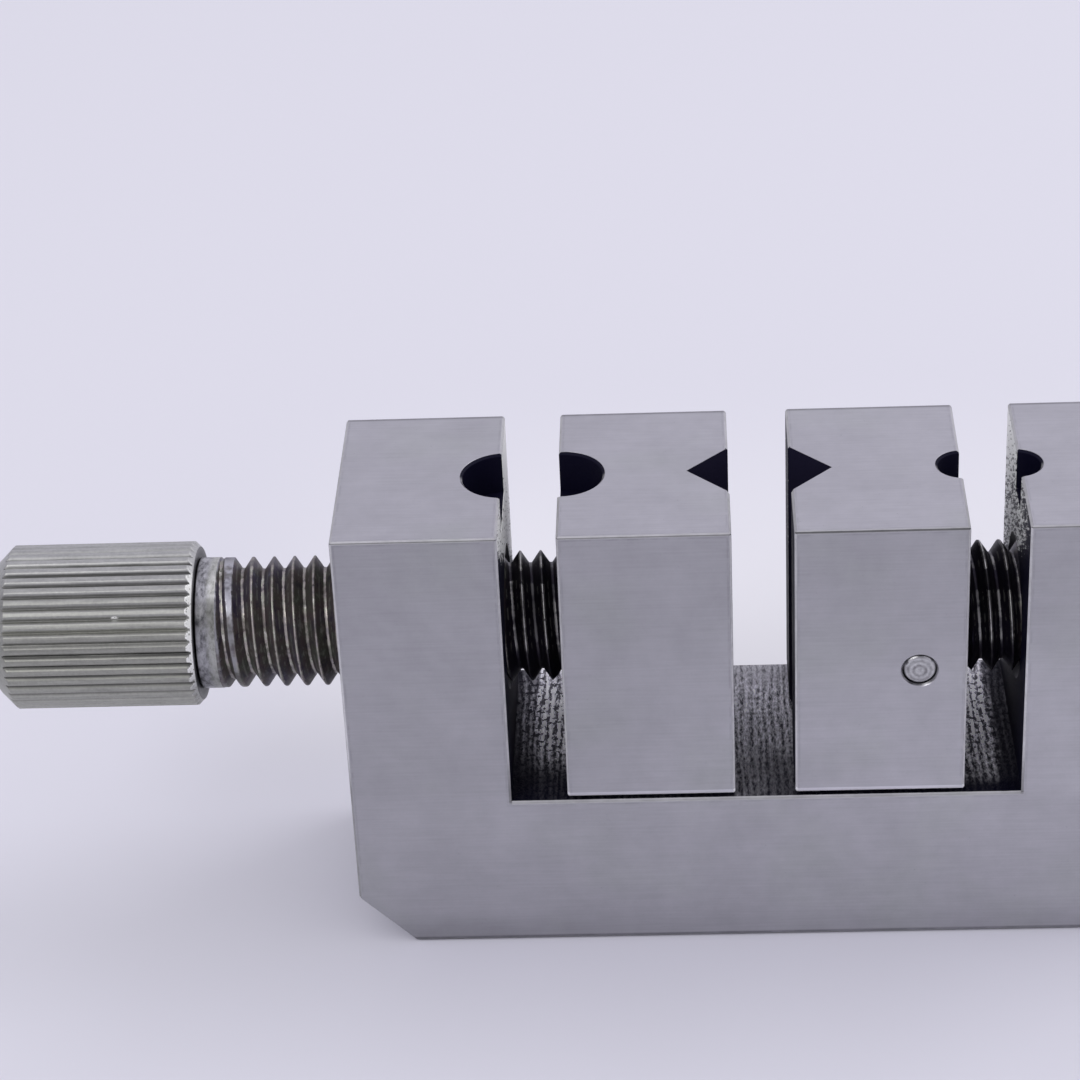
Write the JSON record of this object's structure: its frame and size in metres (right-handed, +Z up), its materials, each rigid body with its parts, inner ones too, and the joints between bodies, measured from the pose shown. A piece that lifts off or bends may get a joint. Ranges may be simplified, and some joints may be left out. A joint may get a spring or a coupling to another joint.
{
  "type": "watchmaker vise",
  "caption": "Small steel screw vise for watch work: slotted block with sliding jaws, knurled screws at both ends, a vee seat in the middle and a round seat at each post.",
  "frame": {"origin": "middle of the underside of the block, which is also the middle of the whole vise in the position shown", "axes": "+X along both screws towards the right-hand knob, +Y from the front face to the back face, +Z up from the underside to the top of the jaws"},
  "size_m": [0.0926, 0.0146, 0.029],
  "materials": {
    "ground_steel": "fine ground steel, dark and rough inside the slot and the seats",
    "screw_steel": "turned steel, dark in the thread",
    "knob_steel": "satin, straight knurled",
    "pin_steel": "turned end face"
  },
  "bodies": {
    "frame": {"frame": "ground_steel"},
    "left_jaw": {"left_jaw": "ground_steel", "left_retaining_pin": "pin_steel"},
    "left_screw": {"left_screw": "screw_steel", "left_knob": "knob_steel"},
    "right_jaw": {"right_jaw": "ground_steel", "right_retaining_pin": "pin_steel"},
    "right_screw": {"right_screw": "screw_steel", "right_knob": "knob_steel"}
  },
  "joints": [
    {"name": "left_jaw_slide", "type": "slide", "parent": "frame", "child": "left_jaw", "axis": [1, 0, 0], "range_m": [-0.00335, 0.00175]},
    {"name": "left_screw_turn", "type": "hinge", "parent": "left_jaw", "child": "left_screw", "pos_m": [-0.0119, 0, 0.0191], "axis": [1, 0, 0], "range_deg": [-964.9, 504.1]},
    {"name": "right_jaw_slide", "type": "slide", "parent": "frame", "child": "right_jaw", "axis": [1, 0, 0], "range_m": [-0.00175, 0.00335]},
    {"name": "right_screw_turn", "type": "hinge", "parent": "right_jaw", "child": "right_screw", "pos_m": [0.0119, 0, 0.0191], "axis": [1, 0, 0], "range_deg": [-504.1, 964.9]}
  ],
  "couplings": [
    {"joint": "left_screw_turn", "follows": "left_jaw_slide", "rad_per_m": 5026.5},
    {"joint": "right_screw_turn", "follows": "right_jaw_slide", "rad_per_m": 5026.5}
  ]
}
